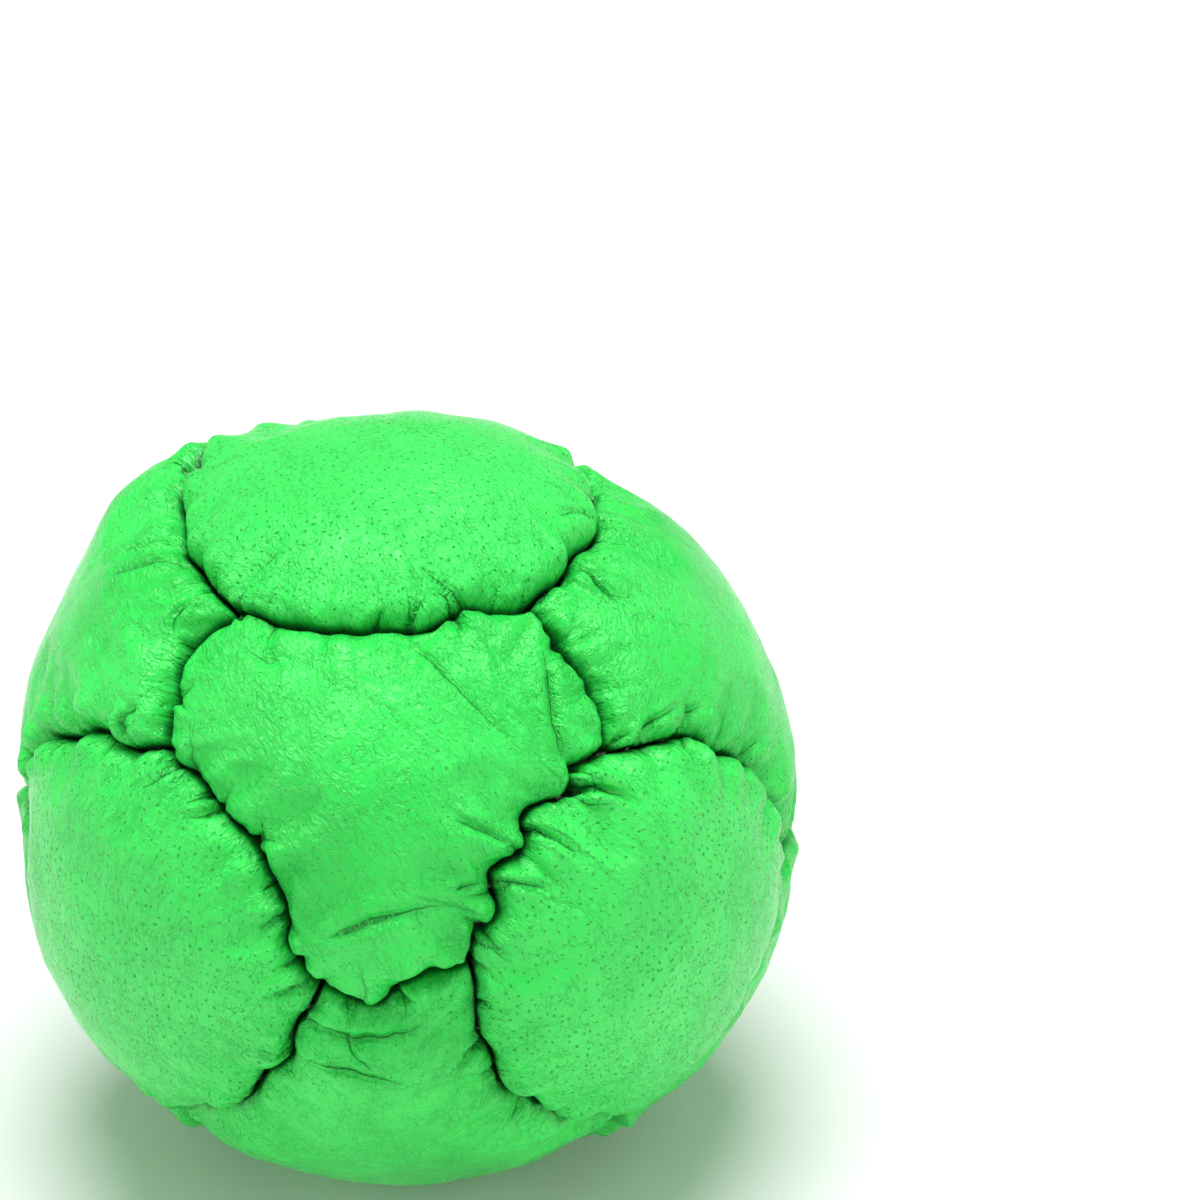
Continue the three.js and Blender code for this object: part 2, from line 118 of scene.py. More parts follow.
# A corner of a four-sided panel leans towards a neighbour's axis, and a little to one side
CORNER_SHARES = {
    "top": {"front_left": (0.57, 0.02), "front_right": (0.55, -0.04),
            "back_right": (0.58, 0.01), "back_left": (0.55, 0.06)},
    "front_left": {"front_right": (0.58, 0.04), "top": (0.54, -0.05),
                   "back_left": (0.59, -0.09), "bottom": (0.57, -0.04)},
    "front_right": {"top": (0.53, 0.05), "front_left": (0.53, -0.1),
                    "bottom": (0.64, 0.03), "back_right": (0.61, -0.08)},
    "back_left": {"front_left": (0.56, 0.02), "top": (0.55, -0.03),
                  "back_right": (0.57, 0.01), "bottom": (0.55, -0.02)},
    "back_right": {"back_left": (0.55, -0.02), "top": (0.56, 0.02),
                   "front_right": (0.57, 0.03), "bottom": (0.57, 0.03)},
    "bottom": {"front_right": (0.5, -0.02), "front_left": (0.53, 0.02),
               "back_left": (0.56, -0.01), "back_right": (0.55, 0.03)},
}
seam_sink = 2.1 * MM
seam_radius = bag_radius - seam_sink
seam_samples = 201
seam_smoothing = 11
seam_wander = 0.45
stitch_pitch = 3.4 * MM
stitch_wander = 0.2
lobe_fullness = (0.6, 1.2)
lobe_roundness = 1.7

# Where the seams that the picture shows run between their corners: a share of the way along, and how
# many millimetres the seam has been pushed away from its first panel there
SEAM_WAYS = {
    ("top", "upper_front"): (
        (0.07, 0.7), (0.13, 1.5), (0.19, 2.1), (0.26, 2.5), (0.34, 2.9), (0.42, 3.1), (0.49, 2.9),
        (0.56, 2.9), (0.64, 3.1), (0.7, 2.7), (0.74, 1.7), (0.79, 1.1), (0.86, 0.9), (0.94, 0.8)),
    ("upper_front", "upper_right"): (
        (0.12, 0.4), (0.25, 0.8), (0.41, 0.9), (0.6, 0.5), (0.77, 0.3), (0.9, 0.3)),
    ("front_right", "upper_front"): (
        (0.06, 0.7), (0.12, 1.6), (0.16, 1.6), (0.21, 1.1), (0.26, 1.2), (0.31, 2.2), (0.37, 3.1),
        (0.43, 3.0), (0.48, 1.9), (0.54, 1.8), (0.6, 2.6), (0.66, 3.0), (0.71, 2.2), (0.76, 0.8),
        (0.82, 0.7), (0.9, 1.3), (0.96, 0.5)),
    ("upper_front", "lower_front"): (
        (0.08, 0.3), (0.17, 1.0), (0.24, 1.7), (0.33, 1.9), (0.42, 1.5), (0.5, 0.7), (0.6, 0.2), (0.8, 0.1)),
    ("front_left", "upper_front"): (
        (0.12, 0.1), (0.2, 0.4), (0.24, 1.3), (0.3, 2.0), (0.39, 2.3), (0.47, 2.7), (0.56, 2.7), (0.64, 2.1),
        (0.73, 1.7), (0.8, 1.5), (0.86, 1.1), (0.91, 0.5), (0.95, 0.1)),
    ("upper_front", "upper_left"): (
        (0.07, -0.1), (0.17, 0.7), (0.33, 1.6), (0.48, 1.6), (0.68, 1.0), (0.85, 0.5)),
    ("top", "upper_left"): (
        (0.06, 0.9), (0.12, 1.8), (0.18, 2.8), (0.25, 3.6), (0.33, 3.7), (0.42, 3.3), (0.53, 3.4),
        (0.64, 3.2), (0.72, 2.3), (0.8, 1.9), (0.9, 1.2)),
    ("top", "upper_right"): (
        (0.04, 0.4), (0.09, 1.0), (0.14, 1.7), (0.19, 2.0), (0.24, 1.9), (0.29, 2.1), (0.36, 3.0),
        (0.44, 3.6), (0.51, 3.4), (0.58, 2.6), (0.66, 2.9), (0.74, 2.4), (0.86, 1.6)),
    ("front_right", "upper_right"): (
        (0.11, 0.8), (0.24, 2.2), (0.34, 3.1), (0.43, 3.5), (0.51, 3.4), (0.57, 2.9), (0.65, 3.1),
        (0.71, 3.2), (0.75, 2.8), (0.81, 2.0), (0.89, 1.1), (0.95, 0.4)),
    ("front_right", "lower_right"): (
        (0.07, 0.9), (0.14, 1.4), (0.24, 1.1), (0.34, 1.6), (0.47, 1.3), (0.58, 1.6), (0.67, 1.0),
        (0.83, 0.6)),
    ("front_right", "lower_front"): (
        (0.04, 0.4), (0.09, 1.1), (0.14, 1.9), (0.2, 2.8), (0.25, 2.9), (0.3, 3.0), (0.35, 3.6), (0.42, 4.1),
        (0.49, 3.9), (0.55, 3.3), (0.63, 3.2), (0.73, 2.6), (0.81, 1.3), (0.9, 0.6)),
    ("front_left", "lower_front"): (
        (0.06, 0.6), (0.12, 1.3), (0.2, 1.3), (0.27, 1.7), (0.33, 2.6), (0.42, 2.9), (0.5, 2.5), (0.59, 2.1),
        (0.66, 2.3), (0.71, 2.5), (0.77, 1.5), (0.84, 0.8), (0.93, 0.6)),
    ("front_left", "upper_left"): (
        (0.07, 0.2), (0.14, 0.2), (0.2, 0.9), (0.27, 1.9), (0.37, 2.5), (0.46, 2.3), (0.56, 2.7),
        (0.66, 3.2), (0.78, 3.2), (0.87, 2.2), (0.94, 1.1)),
}
# Where those seams are stitched, as shares of the way along. The others get even stitches, unevenly.
STITCH_SHARES = {
    ("top", "upper_front"): (0.14, 0.31, 0.46, 0.6, 0.75, 0.88),
    ("upper_front", "upper_right"): (0.36, 0.7),
    ("front_right", "upper_front"): (0.14, 0.24, 0.45, 0.54, 0.72, 0.86),
    ("upper_front", "lower_front"): (0.22, 0.48, 0.74),
    ("front_left", "upper_front"): (0.12, 0.24, 0.38, 0.54, 0.7, 0.86),
    ("upper_front", "upper_left"): (0.34, 0.7),
    ("top", "upper_left"): (0.16, 0.37, 0.55, 0.72, 0.87),
    ("top", "upper_right"): (0.14, 0.27, 0.44, 0.61, 0.8),
    ("front_right", "upper_right"): (0.13, 0.27, 0.42, 0.58, 0.74, 0.88),
    ("front_right", "lower_right"): (0.13, 0.27, 0.43, 0.55, 0.7, 0.85),
    ("front_right", "lower_front"): (0.11, 0.24, 0.36, 0.53, 0.66, 0.8, 0.9),
    ("front_left", "lower_front"): (0.14, 0.29, 0.42, 0.58, 0.73, 0.86),
    ("front_left", "upper_left"): (0.13, 0.25, 0.44, 0.6, 0.76, 0.89),
}
# How full the lobes between the stitches of some seams are
LOBE_SHARES = {
    ("upper_front", "upper_left"): 0.5,
    ("upper_front", "upper_right"): 0.7,
    ("upper_right", "lower_right"): 0.7,
    ("front_left", "lower_left"): 0.6,
    ("front_left", "upper_left"): 1.3,
    ("front_right", "lower_right"): 0.6,
    ("back_left", "upper_left"): 1.2,
    ("back_right", "upper_right"): 1.2,
}
# The other seams bow away from their first panel, by a share of their length
LONG_BOW_SHARE = 0.12
SHORT_BOW_SHARE = 0.03
# Half the width of the groove between two panels, and how much wider and over what length it opens at
# the corners and, more or less, at a stitch
half_groove = 0.12 * MM
corner_opening, corner_opening_length = 0.12 * MM, 1.2 * MM
stitch_opening, stitch_opening_length = 0.2 * MM, 0.5 * MM


def corner_direction(square, neighbour):
    lean, skew = CORNER_SHARES[square][neighbour]
    facing = FACING[square]
    upright = math.sqrt(1 - lean**2 - skew**2)
    return upright * facing + lean * FACING[neighbour] + skew * facing.cross(FACING[neighbour])


def panel_corners(name):
    if name in SQUARES:
        return [(name, neighbour) for neighbour in SQUARES[name]]
    a, b, c = HEXES[name]
    return [(a, b), (b, a), (b, c), (c, b), (c, a), (a, c)]


def lengths(vectors):
    return np.linalg.norm(vectors, axis=1)[:, None]


class Seam:
    """The line where two panels meet, counter-clockwise round the first of them, its home."""

    def __init__(self, home, away, start, end):
        self.home, self.away = home, away
        angle = start.angle(end)
        normal = start.cross(end).normalized()
        self.length = angle * seam_radius
        hand = random.Random(f"{home} to {away}")
        self.stitches = self.marked_stitches(hand)
        fullness = LOBE_SHARES.get((home, away), 1)
        self.rises = [hand.uniform(*lobe_fullness) * fullness for lobe in self.stitches[1:]]
        self.places = np.linspace(0, 1, seam_samples)
        self.lifts = self.lobe_lifts()
        self.openings = self.groove_openings(hand)
        pushed = self.pushed_away(hand) * MM / seam_radius
        along = (np.outer(np.sin((1 - self.places) * angle), start)
                 + np.outer(np.sin(self.places * angle), end)) / math.sin(angle)
        self.line = along * np.cos(pushed)[:, None] - np.outer(np.sin(pushed), normal)
        run = np.gradient(self.line, axis=0)
        side = np.cross(self.line, run)
        self.inward = side / lengths(side)

    def marked_stitches(self, hand):
        shares = STITCH_SHARES.get((self.home, self.away))
        if shares is None:
            count = max(2, round(self.length / stitch_pitch))
            shares = [(stitch + hand.uniform(-stitch_wander, stitch_wander)) / count
                      for stitch in range(1, count)]
        return [0, *shares, 1]

    def pushed_away(self, hand):
        """How many millimetres the seam is pushed away from its home, at each of its places."""
        way = SEAM_WAYS.get((self.home, self.away))
        if way is None:
            bow = (LONG_BOW_SHARE if self.home in SQUARES else SHORT_BOW_SHARE) * self.length / MM
            way = []
            for low, high in zip(self.stitches, self.stitches[1:]):
                middle = (low + high) / 2
                wander = hand.uniform(-seam_wander, seam_wander)
                way.append((middle, bow * math.sin(math.pi * middle) + wander))
        pushed = np.interp(self.places, *zip((0, 0), *way, (1, 0)))
        window = np.hanning(seam_smoothing + 2)[1:-1]
        padded = np.pad(pushed, seam_smoothing // 2, mode="reflect", reflect_type="odd")
        return np.convolve(padded, window / window.sum(), mode="valid")

    def lobe_lifts(self):
        """0 at a stitch, and up to about 1 at the top of the lobe between two stitches."""
        lobe = np.clip(np.searchsorted(self.stitches, self.places, side="right") - 1, 0, len(self.rises) - 1)
        low = np.array(self.stitches)[lobe]
        high = np.array(self.stitches)[lobe + 1]
        rise = np.maximum(np.sin(math.pi * (self.places - low) / (high - low)), 0) ** lobe_roundness
        return rise * np.array(self.rises)[lobe]

    def groove_openings(self, hand):
        """How far each of the two edges stands back from the seam."""
        from_end = np.minimum(self.places, 1 - self.places) * self.length
        opening = half_groove + corner_opening * np.exp(-((from_end / corner_opening_length) ** 2))
        for stitch in self.stitches[1:-1]:
            away = (self.places - stitch) * self.length
            opening += hand.uniform(0, 1) * stitch_opening * np.exp(-((away / stitch_opening_length) ** 2))
        return opening

    def direction(self, t):
        """Where the seam runs, seen from the bag's middle, at a share of the way along."""
        place = t * (seam_samples - 1)
        before = min(int(place), seam_samples - 2)
        rest = place - before
        return Vector(self.line[before] * (1 - rest) + self.line[before + 1] * rest)


PANELS = {name: panel_corners(name) for name in [*SQUARES, *HEXES]}
seams = {}
edges = {}
for name, corners in PANELS.items():
    for start, end in zip(corners, corners[1:] + corners[:1]):
        key = frozenset((start, end))
        if key not in edges:
            edges[key] = (name, start, end)
        else:
            home, first, last = edges[key]
            seams[key] = Seam(home, name, corner_direction(*first), corner_direction(*last))


def middle_of(name):
    return sum((corner_direction(*corner) for corner in PANELS[name]), Vector()).normalized()


def panel_seams(name):
    corners = PANELS[name]
    return [seams[frozenset(pair)] for pair in zip(corners, corners[1:] + corners[:1])]


# Sewn ball: the panels are sewn edge to edge, wrong side out, and turned through the last open seam
# into one closed skin. Here each panel is made of one wedge to a seam, cut fine enough to pucker.
wedge_cuts = 33
edge_crowding = 1.2
sewn_within = 1e-5
# From this many points on, a reading takes every second place of a seam
exact_reading = 6000


def wedge(name, seam):
    """The part of a panel between its middle and one of its seams, on a ball of radius one."""
    bm = bmesh.new()
    share_layer = bm.verts.layers.float.new("share")
    along_layer = bm.verts.layers.float.new("along")
    middle = middle_of(name)
    ends = [(Vector(seam.line[0]), 0), (Vector(seam.line[-1]), 1)]
    if seam.home != name:
        ends.reverse()
    points = [bm.verts.new(middle)] + [bm.verts.new(direction) for direction, t in ends]
    for point, (direction, t) in zip(points[1:], ends):
        point[share_layer] = 1
        point[along_layer] = t
    bm.faces.new(points)
    bmesh.ops.subdivide_edges(bm, edges=bm.edges, cuts=wedge_cuts, use_grid_fill=True)
    for point in bm.verts:
        share = point[share_layer]
        t = point[along_layer] / share if share > 1e-6 else 0
        crowded = 1 - (1 - share) ** edge_crowding
        point.co = middle.lerp(seam.direction(t), crowded).normalized()
    return bm


ball = bmesh.new()
scrap = bpy.data.meshes.new("scrap")
for index, name in enumerate(PANELS):
    for seam in panel_seams(name):
        part = wedge(name, seam)
        for face in part.faces:
            face.material_index = index
        part.to_mesh(scrap)
        part.free()
        ball.from_mesh(scrap)
bpy.data.meshes.remove(scrap)
bmesh.ops.remove_doubles(ball, verts=ball.verts, dist=sewn_within)
ball.verts.ensure_lookup_table()
members = [
    np.array(sorted({v.index for f in ball.faces if f.material_index == index for v in f.verts}))
    for index in range(len(PANELS))
]


def apart(directions, others, radius):
    """How far each of some directions is from each of the others, on a ball."""
    return np.sqrt(np.maximum(0, 2 - 2 * directions @ others.T)) * radius


def seam_reading(name, directions):
    """How far each direction on a panel is from its seams, and the place on the nearest of them."""
    near = np.zeros(len(directions))
    reading = {kind: np.zeros(len(directions)) for kind in ("run", "lift", "opening")}
    reading["gap"] = np.full(len(directions), math.inf)
    gaps = []
    before = 0
    every = 1 if len(directions) < exact_reading else 2
    for seam in panel_seams(name):
        gap = apart(directions, seam.line[::every], seam_radius)
        found = gap.argmin(axis=1) * every
        gap = gap.min(axis=1)
        gaps.append(gap)
        near += 1 / np.maximum(gap, 1e-6) ** 4
        closer = gap < reading["gap"]
        reading["gap"][closer] = gap[closer]
        reading["run"][closer] = before + seam.places[found[closer]] * seam.length
        reading["lift"][closer] = seam.lifts[found[closer]]
        reading["opening"][closer] = seam.openings[found[closer]]
        before += seam.length
    reading["blended_gap"] = near**-0.25
    reading["next_gap"] = np.sort(gaps, axis=0)[1]
    return reading


# Filling: sand puffs each panel out between its seams, low at the stitches and in a lobe between two of
# them. Then the leather swells under the sand's pressure as cloth, and the settled sand dents it.
seam_drop = 0.6 * MM
roll_width = 3.0 * MM
least_roll_width = 1.1 * MM
lobe_narrowing = 0.45
roll_roundness = 2.1
lobe_rise = 0.4 * MM
lobe_place = 1.2 * MM
lobe_width = 0.9 * MM
dome_width = 11 * MM
dome_drop = 0.5 * MM
swelling = 0.5 * MM
CROWN_SHARES = {"top": 1.01, "upper_left": 1.03, "upper_back": 0.985, "lower_left": 1.04,
                "lower_right": 1.03, "lower_front": 0.985}

directions = np.array([v.co for v in ball.verts])
levels = np.zeros(len(directions))
for index, name in enumerate(PANELS):
    mine = members[index]
    reading = seam_reading(name, directions[mine])
    crown = bag_radius * CROWN_SHARES.get(name, 1) - swelling - seam_radius
    lift = reading["lift"] * np.clip((reading["next_gap"] - reading["gap"]) / lobe_place, 0, 1)
    width = np.maximum(roll_width * (1 - lobe_narrowing * lift), least_roll_width)
    outwards = np.clip(reading["blended_gap"] / width, 0, 1)
    roll = (1 - (1 - outwards) ** roll_roundness) ** (1 / roll_roundness)
    dome = 1 - np.clip(reading["blended_gap"] / dome_width, 0, 1)
    puff = lobe_rise * lift * np.exp(-(((reading["blended_gap"] - lobe_place) / lobe_width) ** 2))
    levels[mine] = seam_radius - seam_drop + (crown + seam_drop - dome_drop * dome**2 + puff) * roll
spots = directions * levels[:, None]

cloth_scale = 20
cloth_frames = 8
cloth_stiffness = 20
cloth_damping = 5
most_swelling = 1.7 * MM
most_of_gap = 0.7
sewn = sorted({
    v.index for e in ball.edges if e.link_faces[0].material_index != e.link_faces[1].material_index
    for v in e.verts
})
tight = sorted({int(v) for index, name in enumerate(PANELS) if name in SQUARES for v in members[index]})


def vectors_of(items, kind):
    """One vector of each item of a mesh, such as its place or its normal."""
    found = np.zeros(len(items) * 3)
    items.foreach_get(kind, found)
    return found.reshape(-1, 3)


def swollen(spots):
    """How far each point moves as the skin swells under the sand's pressure, held at its seams.

    The skin is made larger for it, because the solver's own sizes suit a garment.
    """
    skin = bpy.data.meshes.new("skin")
    ball.to_mesh(skin)
    skin.vertices.foreach_set("co", (spots * cloth_scale).ravel())
    skin_piece = placed("skin", skin)
    skin_piece.vertex_groups.new(name="sewn").add(sewn, 1, "REPLACE")
    skin_piece.vertex_groups.new(name="tight").add(tight, 1, "REPLACE")
    cloth = skin_piece.modifiers.new("cloth", "CLOTH")
    settings = cloth.settings
    settings.quality = 9
    settings.mass = 0.3
    settings.tension_stiffness = cloth_stiffness
    settings.compression_stiffness = cloth_stiffness
    settings.shear_stiffness = cloth_stiffness / 2
    settings.bending_stiffness = 0.3
    settings.tension_damping = cloth_damping
    settings.compression_damping = cloth_damping
    settings.shear_damping = cloth_damping
    settings.air_damping = 1
    settings.vertex_group_mass = "sewn"
    settings.vertex_group_shrink = "tight"
    settings.shrink_min = -0.04
    settings.shrink_max = -0.035
    settings.use_pressure = True
    settings.uniform_pressure_force = 6
    settings.effector_weights.gravity = 0
    cloth.collision_settings.use_collision = False
    cloth.point_cache.frame_start = 1
    cloth.point_cache.frame_end = cloth_frames
    for moment in range(1, cloth_frames + 1):
        bpy.context.scene.frame_set(moment)
    evaluated = skin_piece.evaluated_get(bpy.context.evaluated_depsgraph_get())
    found = vectors_of(evaluated.data.vertices, "co")
    bpy.data.objects.remove(skin_piece)
    bpy.data.meshes.remove(skin)
    bpy.context.scene.frame_set(1)
    moved = np.nan_to_num(found / cloth_scale - spots)
    return moved * np.minimum(1, most_swelling / np.maximum(lengths(moved), 1e-9))


def kept_apart(moved):
    """Lets each point move only part of the way to its seam, so that no panel crosses a seam."""
    for index, name in enumerate(PANELS):
        mine = members[index]
        outwards = directions[mine] * (moved[mine] * directions[mine]).sum(axis=1)[:, None]
        sideways = moved[mine] - outwards
        most = most_of_gap * seam_reading(name, directions[mine])["gap"][:, None]
        moved[mine] = outwards + sideways * np.minimum(1, most / np.maximum(lengths(sideways), 1e-9))
    return moved


filled_width = 5 * MM
crown_percentile = 99


def filled_out(spots):
    """Lifts or lowers the middle of each panel until its crown stands as high as it should."""
    for index, name in enumerate(PANELS):
        mine = np.setdiff1d(members[index], sewn)
        reach = lengths(spots[mine])
        directions = spots[mine] / reach
        short = bag_radius * CROWN_SHARES.get(name, 1) - np.percentile(reach, crown_percentile)
        middling = 1 - (1 - np.clip(seam_reading(name, directions)["gap"] / filled_width, 0, 1)) ** 2
        spots[mine] += directions * (short * middling)[:, None]
    return spots


# The settled sand has pushed the bag out of round near some points of the picture's outline: how many
# millimetres, and over how wide a spot
BULGES = (
    ((762, 964), 0.7, 8), ((648, 1106), 0.8, 8), ((798, 785), 0.8, 6), ((235, 450), 1.8, 5),
    ((150, 505), 1.8, 5), ((55, 634), -0.4, 6), ((89, 1023), 0.8, 9), ((225, 1145), 0.7, 5),
    ((215, 1055), -0.4, 5), ((225, 450), 0.4, 4),
)


def on_ball(x, y):
    """The direction from the bag's middle to the point of the ball that shows at a picture point."""
    ray = camera.rotation_quaternion @ Vector((x - picture_side / 2, picture_side / 2 - y, -focal_pixels))
    ray.normalize()
    start = camera.location - bag_middle
    half = start.dot(ray)
    root = max(half**2 - start.length_squared + bag_radius**2, 0)
    return (start + ray * (-half - math.sqrt(root))).normalized()


def settled(spots):
    """Pushes points out, or lets them in, where the sand has settled."""
    directions = spots / lengths(spots)
    moved = np.zeros(len(spots))
    for (x, y), height, width in BULGES:
        gap = apart(directions, np.array(on_ball(x, y)), bag_radius)
        moved += height * MM * np.exp(-((gap / (width * MM)) ** 2))
    return spots + directions * moved[:, None]


spots = filled_out(spots + kept_apart(swollen(spots)))
spots = settled(spots)
spots[:, 2] = np.maximum(spots[:, 2], -bag_middle.z)
for v, spot in zip(ball.verts, spots):
    v.co = Vector(spot)

# Folds: the leather creases where the sand doesn't fill it, and tucks in at the stitches. Each fold has
# its height, below 0 where it sinks, and its width in millimetres, and its way across the picture.
FOLDS = {
    "upper_front": (
        (-0.21, 0.3, ((408, 631), (427, 652), (451, 680), (470, 699), (494, 722), (525, 750), (562, 781))),
        (0.24, 0.34, ((490, 641), (488, 668), (494, 691), (503, 718), (521, 746), (544, 765), (566, 786))),
        (-0.47, 0.45, ((552, 655), (556, 691), (560, 722), (567, 746), (576, 764))),
        (0.15, 0.3, ((513, 695), (532, 722), (552, 753))),
        (-0.32, 0.34, ((462, 822), (490, 833), (508, 842), (526, 848))),
        (-0.32, 0.52, ((334, 938), (369, 923), (400, 917), (431, 911), (470, 909))),
        (-0.26, 0.3, ((458, 894), (474, 889), (490, 888))),
        (-0.16, 0.38, ((315, 946), (352, 936), (397, 921))),
        (0.18, 0.51, ((330, 668), (380, 690), (420, 735))),
        (-0.16, 0.45, ((236, 640), (262, 656), (300, 650))),
    ),
    "front_right": (
        (-1.05, 0.41, ((568, 797), (587, 788), (606, 787), (626, 792), (648, 808))),
        (-0.42, 0.3, ((500, 888), (520, 886), (540, 890), (558, 893))),
        (-0.42, 0.3, ((523, 848), (541, 832), (560, 840), (578, 852), (593, 867))),
        (0.22, 0.34, ((548, 860), (562, 872), (574, 890))),
        (-0.28, 0.3, ((476, 950), (498, 960), (518, 974))),
        (-0.35, 0.3, ((470, 1030), (486, 1022), (505, 1024))),
    ),
    "upper_right": (
        (-0.56, 0.38, ((599, 500), (606, 484), (604, 466))),
        (-0.35, 0.3, ((587, 559), (604, 575), (622, 590), (634, 598))),
        (-0.49, 0.38, ((530, 603), (548, 612), (566, 622), (575, 640))),
        (-0.42, 0.38, ((696, 728), (700, 712), (713, 700))),
        (0.22, 0.42, ((575, 655), (600, 690), (612, 725))),
        (-0.35, 0.38, ((652, 735), (668, 715), (690, 700))),
    ),
    "upper_left": (
        (-0.56, 0.38, ((200, 566), (190, 590), (171, 613), (161, 636))),
        (0.3, 0.51, ((112, 560), (143, 540), (171, 520), (184, 504))),
        (-0.42, 0.45, ((118, 578), (150, 560), (182, 545))),
        (-0.35, 0.38, ((240, 614), (222, 626), (205, 650))),
        (-0.42, 0.38, ((112, 732), (120, 714), (138, 700))),
    ),
    "lower_front": (
        (-0.49, 0.45, ((290, 1038), (320, 1046), (357, 1053), (386, 1049), (411, 1042), (446, 1022))),
        (-0.42, 0.38, ((296, 1078), (344, 1082), (375, 1087), (420, 1098))),
        (0.22, 0.42, ((310, 1060), (350, 1068), (400, 1066), (440, 1052))),
        (-0.28, 0.3, ((340, 1050), (356, 1070), (380, 1084))),
        (-0.35, 0.38, ((349, 1006), (342, 1020), (346, 1034))),
        (-0.35, 0.3, ((492, 1066), (474, 1070), (455, 1084))),
    ),
    "front_left": (
        (-0.49, 0.38, ((164, 748), (158, 765), (146, 780), (130, 790))),
        (-0.42, 0.38, ((206, 790), (190, 796), (172, 806))),
        (-0.35, 0.38, ((283, 925), (266, 928), (250, 938))),
        (-0.35, 0.38, ((308, 992), (280, 1003), (248, 1006))),
    ),
    "top": (
        (-0.28, 0.26, ((427, 567), (448, 580), (470, 594), (492, 600), (510, 604))),
        (-0.42, 0.3, ((366, 628), (372, 612), (384, 600))),
        (-0.17, 0.19, ((250, 562), (262, 556), (274, 548), (282, 540))),
        (0.15, 0.26, ((240, 582), (268, 586), (300, 600))),
        (-0.42, 0.38, ((600, 508), (580, 505), (560, 512))),
    ),
}
# A stitch may have no tuck, or one or two, of any reach, depth and width between two
tuck_counts = (0, 1, 1, 2)
tuck_reach = (1.0, 3.2)
tuck_lean = 0.7
tuck_curl = 0.3
tuck_depth = (0.06, 0.28)
tuck_width = (0.25, 0.5)
# A fold fades in at its start and out over its end, and has a low ridge along each side
fold_steps = 10
fold_start_fade = 0.35
fold_start_share = 0.15
fold_end_fade = 0.6
fold_end_sharpness = 0.8
fold_near = 1.6
fold_margin = 0.02
ridge_share = 0.5
ridge_place = 1.7
# The finish draws a crisp crease where a fold sinks: a dip in the relief, coloured dark as painted shade
full_crease = 0.35
crease_reach = 1.2 * MM


def tucks(name):
    """Short creases that run from each stitch of a panel's seams into the panel."""
    for seam in panel_seams(name):
        hand = random.Random(f"{name} tucked at {seam.home} {seam.away}")
        for stitch in seam.stitches:
            place = round(stitch * (seam_samples - 1))
            start, inward = seam.line[place], seam.inward[place] * (1 if seam.home == name else -1)
            if stitch in (0, 1):
                inward = np.array(middle_of(name)) - start
                inward /= np.linalg.norm(inward)
            sideways = np.cross(start, inward)
            for tuck in range(hand.choice(tuck_counts)):
                reach = hand.uniform(*tuck_reach) * MM / bag_radius
                lean, curl = hand.uniform(-tuck_lean, tuck_lean), hand.uniform(-tuck_curl, tuck_curl)
                half_way = start + (inward + sideways * (lean + curl) / 2) * reach / 2
                end = start + (inward + sideways * lean) * reach
                yield -hand.uniform(*tuck_depth), hand.uniform(*tuck_width), (start, half_way, end), 0


def folded(name, directions):
    """How far the folds lift or sink each point of a panel, how far off and how deep its crease is."""
    total, across, creased = np.zeros((3, len(directions)))
    nearest = np.full(len(directions), crease_reach)
    marked = [(height, width, [on_ball(x, y) for x, y in points], fold_start_fade)
              for height, width, points in FOLDS.get(name, ())]
    for height, width, points, start_fade in [*marked, *tucks(name)]:
        line = np.array(points)
        steps = np.linspace(0, len(line) - 1, fold_steps * (len(line) - 1) + 1)
        line = np.stack([np.interp(steps, range(len(line)), line[:, axis]) for axis in range(3)], axis=1)
        line /= lengths(line)
        share = steps / steps[-1]
        fade = np.clip((1 - share) / fold_end_fade, 0, 1) ** fold_end_sharpness
        if start_fade:
            fade *= np.clip((share + fold_start_share) / start_fade, 0, 1)
        middle = line[len(line) // 2]
        reach = max(1 - middle @ line[0], 1 - middle @ line[-1]) + fold_margin
        close = np.flatnonzero(directions @ middle > 1 - fold_near * reach)
        gap = apart(directions[close], line, bag_radius)
        found = gap.argmin(axis=1)
        gap = gap.min(axis=1)
        away = gap / (width * MM)
        crease = np.exp(-(away**2)) - ridge_share * np.exp(-((away - ridge_place) ** 2))
        total[close] += height * MM * crease * fade[found]
        if height < 0:
            side = np.cross(line, np.gradient(line, axis=0))
            side /= lengths(side)
            nearer = gap < nearest[close]
            spots, on_line = close[nearer], found[nearer]
            nearest[spots] = gap[nearer]
            across[spots] = ((directions[spots] - line[on_line]) * side[on_line]).sum(axis=1) * bag_radius
            creased[spots] = min(-height / full_crease, 1) * fade[on_line]
    return total, across, creased * (1 - nearest / crease_reach) ** 2


# Leather panels: bright green pigskin, cut to shape and a little under a millimetre thick. The edges
# are turned in along the seams and run down into the bag, so that a dark groove shows between panels.
leather_thickness = 0.8 * MM
opening_reach = 0.7 * MM
turned_rows = 3
turned_depth = 2.3 * MM
turned_lean = -0.11 * MM
still_edge = 1.2 * MM
lump_size, lump_height = 4.5 * MM, 0.18 * MM
ripple_size, ripple_height = 1.4 * MM, 0.04 * MM
pull_width, pull_length, pull_height = 0.9 * MM, 3.5 * MM, 0.12 * MM
pull_reach, pull_start = 2.8 * MM, 0.5 * MM
corner_calm = 1.2 * MM
fold_start = 0.3 * MM
hide_scale = 0.04


